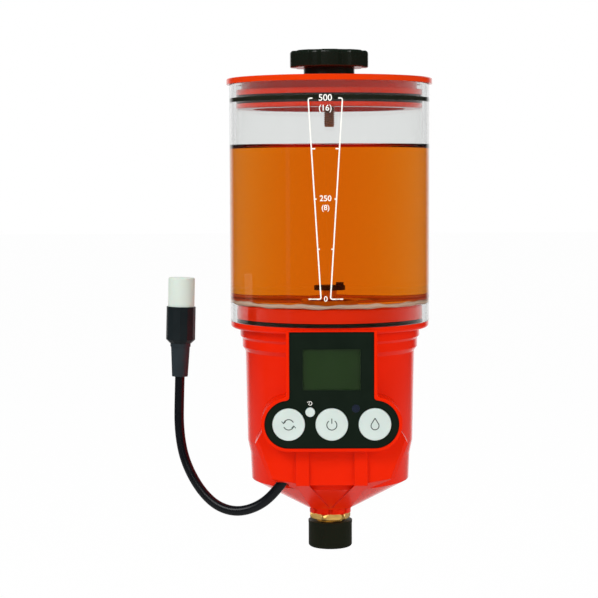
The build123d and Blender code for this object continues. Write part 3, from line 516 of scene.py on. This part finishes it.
# ------------------------------------------------------------------ printing
def strip(points, width, front):
    """Ribbon of even width along a path in the print's own plane; front maps (u, v) to 3-D."""
    verts = []
    for i, here in enumerate(points):
        before = Vector(points[max(0, i - 1)])
        after = Vector(points[min(len(points) - 1, i + 1)])
        along = (after - before).normalized()
        side = Vector((-along.y, along.x)) * width / 2
        verts.append(front(*(Vector(here) + side)))
        verts.append(front(*(Vector(here) - side)))
    faces = [(2 * i, 2 * i + 1, 2 * i + 3, 2 * i + 2) for i in range(len(points) - 1)]
    return verts, faces


def arc(centre, radius, start, end, count=24):
    """Points along an arc, angles in degrees."""
    angles = [math.radians(a) for a in spread(start, end, count)]
    return [(centre[0] + radius * math.cos(a), centre[1] + radius * math.sin(a)) for a in angles]


def print_piece(name, strips, width, front, body, material):
    """One printed mark made of several ribbons."""
    points, faces = [], []
    for path in strips:
        verts, quads = strip(path, width, front)
        faces += [tuple(len(points) + i for i in quad) for quad in quads]
        points += verts
    return piece(name, points, faces, body, material, smooth=False)


def on_tube(u, v):
    """Point of the print on the tube's front: u along the girth, v the height."""
    radius = tube_r + 0.04 * MM
    return (radius * math.sin(u / tube_r), -radius * math.cos(u / tube_r), v)


scale_x = -2.5 * MM
scale_top = 193.5 * MM
scale_foot = 105.9 * MM
top_half = 7.5 * MM         # half the distance between the slanted lines, at the top and foot
foot_half = 2.1 * MM
ink = 0.6 * MM              # width of the printed lines


def scale_side(way, height):
    """Distance from the print's middle of the slanted line at a height, as u."""
    share = (height - scale_foot) / (scale_top - scale_foot)
    return scale_x + way * (foot_half + (top_half - foot_half) * share)


scale_strips = []
for way in (-1, 1):
    foot_u = scale_side(way, scale_foot)
    head_u = scale_side(way, scale_top)
    foot_corner = [(foot_u + way * 5.5 * MM, scale_foot), (foot_u + way * 0.9 * MM, scale_foot),
                   (foot_u + way * 0.3 * MM, scale_foot + 0.15 * MM)]
    heights = spread(scale_foot + 0.6 * MM, scale_top - 0.8 * MM, 20)
    line = [(scale_side(way, h), h) for h in heights]
    head_corner = [(head_u - way * 0.25 * MM, scale_top - 0.2 * MM),
                   (head_u - way * 0.8 * MM, scale_top), (head_u - way * 1.9 * MM, scale_top)]
    scale_strips.append(foot_corner + line + head_corner)
    for share, length in ((0.25, 0.9), (0.5, 0.9), (0.75, 1.7)):
        height = scale_foot + share * (scale_top - scale_foot)
        start_u = scale_side(way, height)
        scale_strips.append([(start_u, height), (start_u - way * length * MM, height)])
print_piece("scale_lines", scale_strips, ink, on_tube, "housing", print_white)


def lettering(name, words, size, centre, front, body, material):
    """Plain numerals as a mesh, laid on a surface by front(u, v)."""
    curve = bpy.data.curves.new(name, "FONT")
    curve.body = words
    curve.size = size
    curve.align_x = "CENTER"
    curve.align_y = "CENTER"
    curve.offset = size * 0.012
    holder = bpy.data.objects.new(name + "_text", curve)
    bpy.context.scene.collection.objects.link(holder)
    bpy.context.view_layer.update()
    flat = bpy.data.meshes.new_from_object(holder)
    bpy.data.objects.remove(holder)
    points = [front(centre[0] + v.co.x, centre[1] + v.co.y) for v in flat.vertices]
    faces = [tuple(p.vertices) for p in flat.polygons]
    return piece(name, points, faces, body, material, smooth=False)


for words, size, height in (("500", 4.0, 193.6), ("(16)", 3.6, 189.2), ("250", 3.5, 149.9),
                            ("(8)", 3.2, 145.9), ("0", 3.4, 105.9)):
    lettering("scale_" + words.strip("()"), words, size * MM, (scale_x, height * MM), on_tube,
              "housing", print_white)


ink_gap = 0.02 * MM         # the print lies this far in front of what carries it


def on_key(u, v):
    return (u, key_y - ink_gap, v)


def on_panel(u, v):
    return (u, panel_y - ink_gap, v)


def key_middle(node):
    """Middle of a key's face, as (x, z)."""
    lowest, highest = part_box(node)
    return ((lowest.x + highest.x) / 2, (lowest.z + highest.z) / 2)


def shifted(path, middle):
    """A path in mm, moved to a middle in metres."""
    return [(middle[0] + u * MM, middle[1] + v * MM) for u, v in path]


icons = {
    "mode_button": [arc((0, 0), 2.3, 25, 165), arc((0, 0), 2.3, 205, 345),
                    [(-3.1, 1.5), (-2.25, 0.5), (-1.3, 1.5)],
                    [(3.1, -1.5), (2.25, -0.5), (1.3, -1.5)]],
    "power_button": [arc((0, -0.2), 2.2, -235, 55, 32), [(0, 0.4), (0, 2.7)]],
    "test_button": [[(0, 2.8)] + arc((0, -0.6), 1.75, 28, -208, 30) + [(0, 2.8)]],
}
for key, paths in icons.items():
    middle = key_middle(key)
    print_piece(key + "_mark", [shifted(path, middle) for path in paths], 0.42 * MM, on_key,
                key, print_dark)
reset_middle = key_middle("reset_button")
reset_mark = [arc((0, 3.9), 0.8, 120, -170, 16), [(-1.3, 4.3), (-0.5, 4.7), (-0.3, 3.8)]]
print_piece("reset_mark", [shifted(path, reset_middle) for path in reset_mark], 0.24 * MM,
            on_panel, "housing", print_white)


# ------------------------------------------------------------------ supply cable
route = [                   # part.py's route in mm, a few points moved to follow the photo
    (-18.2, -37.4, 28.6), (-23.5, -36.6, 20.7), (-31.2, -34.4, 12.7), (-41.2, -32.4, 8.9),
    (-50.4, -30.0, 10.5), (-57.8, -27.0, 16.3), (-63.8, -24.0, 25.2), (-67.5, -21.3, 34.6),
    (-69.1, -19.4, 45.9), (-69.0, -18.2, 57.4), (-68.6, -18.0, 68.9),
]
cable_curve = bpy.data.curves.new("supply_lead", "CURVE")
cable_curve.dimensions = "3D"
spline = cable_curve.splines.new("NURBS")
spline.points.add(len(route) - 1)
for point, place in zip(spline.points, route):
    point.co = tuple(c * MM for c in place) + (1.0,)
spline.order_u = 3
spline.use_endpoint_u = True
spline.resolution_u = 16
cable_curve.bevel_depth = 2.2 * MM
cable_curve.bevel_resolution = 8
cable_curve.materials.append(looks["cable_jacket"])
cable = bpy.data.objects.new("supply_lead", cable_curve)
bpy.context.scene.collection.objects.link(cable)
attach(cable, "housing")
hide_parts("supply_cable")


# ------------------------------------------------------------------ studio
darks = bpy.data.collections.new("dark_parts")
darks.objects.link(cable)
for row in frame["record"]["subparts"]:
    if row["material_slot"] in ("knob_plastic", "black_plastic", "plug_black"):
        darks.objects.link(nodes[row["node"]])
metals = bpy.data.collections.new("metal_parts")
metals.objects.link(nipple)
metals.objects.link(stud)
for row in frame["record"]["subparts"]:
    if row["material_slot"] in ("brass", "steel", "pump_metal", "dark_metal"):
        metals.objects.link(nodes[row["node"]])


def area_lamp(name, place, size, power, lights=True, mirrored=False, onto=None):
    """Soft box facing the part; it lights matt surfaces, or shows as a mirror image, or both.

    onto is a collection of the only objects that it reaches."""
    data = bpy.data.lights.new(name, "AREA")
    data.shape = "RECTANGLE"
    data.size, data.size_y = size
    data.energy = power
    lamp = bpy.data.objects.new(name, data)
    lamp.location = place
    toward = Vector((0, 0, 0.1)) - Vector(place)
    lamp.rotation_euler = toward.to_track_quat("-Z", "Y").to_euler()
    lamp.visible_diffuse = lights
    lamp.visible_glossy = mirrored
    lamp.visible_transmission = mirrored
    bpy.context.scene.collection.objects.link(lamp)
    if onto:
        lamp.light_linking.receiver_collection = onto


area_lamp("key_box", (-0.75, -0.75, 0.85), (0.5, 0.5), 8)
area_lamp("fill_box", (0.95, -0.65, 0.45), (0.4, 0.6), 4)
area_lamp("top_box", (0.0, 0.25, 1.1), (0.9, 0.7), 2.5)
area_lamp("glass_strip", (-0.78, -0.70, 0.35), (0.10, 0.8), 0.03, False, True)
area_lamp("sheen_box", (-0.55, -0.85, 0.85), (0.9, 0.6), 6.0, False, True, darks)
area_lamp("metal_front", (-0.25, -1.3, 0.0), (1.6, 0.9), 22, False, True, metals)
area_lamp("metal_left", (-1.0, 0.35, 0.0), (0.9, 0.9), 7, False, True, metals)
area_lamp("metal_right", (1.0, 0.35, 0.0), (0.9, 0.9), 7, False, True, metals)


def blend_level(tree, factor, first, second):
    """Float mix of two levels, each a socket or a number."""
    node = tree.nodes.new("ShaderNodeMix")
    node.data_type = "FLOAT"
    tree.links.new(factor, node.inputs["Factor"])
    for name, value in (("A", first), ("B", second)):
        if isinstance(value, (int, float)):
            node.inputs[name].default_value = value
        else:
            tree.links.new(value, node.inputs[name])
    return node.outputs["Result"]


def room(tree, direction):
    """Rays, and how bright a direction is: white through glass, and to a mirror white behind."""
    path = tree.nodes.new("ShaderNodeLightPath")
    split = tree.nodes.new("ShaderNodeSeparateXYZ")
    tree.links.new(direction, split.inputs["Vector"])
    behind = tree.nodes.new("ShaderNodeMapRange")
    behind.interpolation_type = "SMOOTHSTEP"
    set_inputs(behind, {"From Min": 0.8, "From Max": 0.95, "To Min": 0.03, "To Max": 1.0})
    tree.links.new(split.outputs["Y"], behind.inputs["Value"])
    white = math_node(tree, "MAXIMUM", behind.outputs["Result"],
                      path.outputs["Is Transmission Ray"])
    bent = math_node(tree, "MAXIMUM", path.outputs["Is Glossy Ray"],
                     path.outputs["Is Transmission Ray"])
    bent = math_node(tree, "SUBTRACT", bent, path.outputs["Diffuse Depth"], clamp=True)
    return path.outputs["Is Camera Ray"], bent, white


world = bpy.data.worlds.new("studio")
world.use_nodes = True
bpy.context.scene.world = world
tree = world.node_tree
tree.nodes.clear()
out = tree.nodes.new("ShaderNodeOutputWorld")
background = tree.nodes.new("ShaderNodeBackground")
background.inputs["Color"].default_value = (1, 1, 1, 1)
room_light = 0.62           # what matt surfaces see
coords = tree.nodes.new("ShaderNodeTexCoord")
direct, bent, white = room(tree, coords.outputs["Generated"])
level = blend_level(tree, bent, room_light, white)
level = blend_level(tree, direct, level, 1.0)
tree.links.new(level, background.inputs["Strength"])
tree.links.new(background.outputs["Background"], out.inputs["Surface"])

floor_material, tree, out = new_material("studio_floor")
pale = tree.nodes.new("ShaderNodeBsdfDiffuse")
pale.inputs["Color"].default_value = (0.9, 0.9, 0.9, 1)
glow = tree.nodes.new("ShaderNodeEmission")
mix = tree.nodes.new("ShaderNodeMixShader")
place = tree.nodes.new("ShaderNodeNewGeometry")
toward = tree.nodes.new("ShaderNodeVectorMath")
toward.operation = "NORMALIZE"
tree.links.new(place.outputs["Position"], toward.inputs[0])
direct, bent, white = room(tree, toward.outputs["Vector"])
distance = tree.nodes.new("ShaderNodeVectorMath")
distance.operation = "LENGTH"
tree.links.new(place.outputs["Position"], distance.inputs[0])
near = tree.nodes.new("ShaderNodeMapRange")
near.interpolation_type = "SMOOTHSTEP"
set_inputs(near, {"From Min": 0.6, "From Max": 1.6, "To Min": 0.3, "To Max": 0.0})
tree.links.new(distance.outputs["Value"], near.inputs["Value"])
white = math_node(tree, "MAXIMUM", white, near.outputs["Result"])
tree.links.new(blend_level(tree, bent, 1.0, white), glow.inputs["Strength"])
glowing = 0.97              # the floor's own share in white, the rest takes the shadow
share = math_node(tree, "MAXIMUM", math_node(tree, "MULTIPLY", direct, glowing), bent)
tree.links.new(share, mix.inputs["Fac"])
tree.links.new(pale.outputs["BSDF"], mix.inputs[1])
tree.links.new(glow.outputs["Emission"], mix.inputs[2])
tree.links.new(mix.outputs["Shader"], out.inputs["Surface"])
floor_z, floor_half = -0.10, 6
floor_mesh = bpy.data.meshes.new("floor")
floor_mesh.from_pydata([(-floor_half, -floor_half, floor_z), (floor_half, -floor_half, floor_z),
                        (floor_half, floor_half, floor_z), (-floor_half, floor_half, floor_z)],
                       [], [(0, 1, 2, 3)])
floor_mesh.materials.append(floor_material)
floor = bpy.data.objects.new("floor", floor_mesh)
bpy.context.scene.collection.objects.link(floor)

camera_pitch, camera_roll = 4.37867, 0.224      # degrees, looking down and leaning
camera_data = bpy.data.cameras.new("camera")
camera_data.lens = 105.35
camera_data.sensor_width = 36.0
camera = bpy.data.objects.new("camera", camera_data)
camera.location = (-0.0140, -0.810, 0.16456)
camera.rotation_euler = (math.radians(90.0 - camera_pitch), math.radians(camera_roll), 0)
bpy.context.scene.collection.objects.link(camera)
bpy.context.scene.camera = camera
bpy.context.scene.view_settings.view_transform = "Standard"
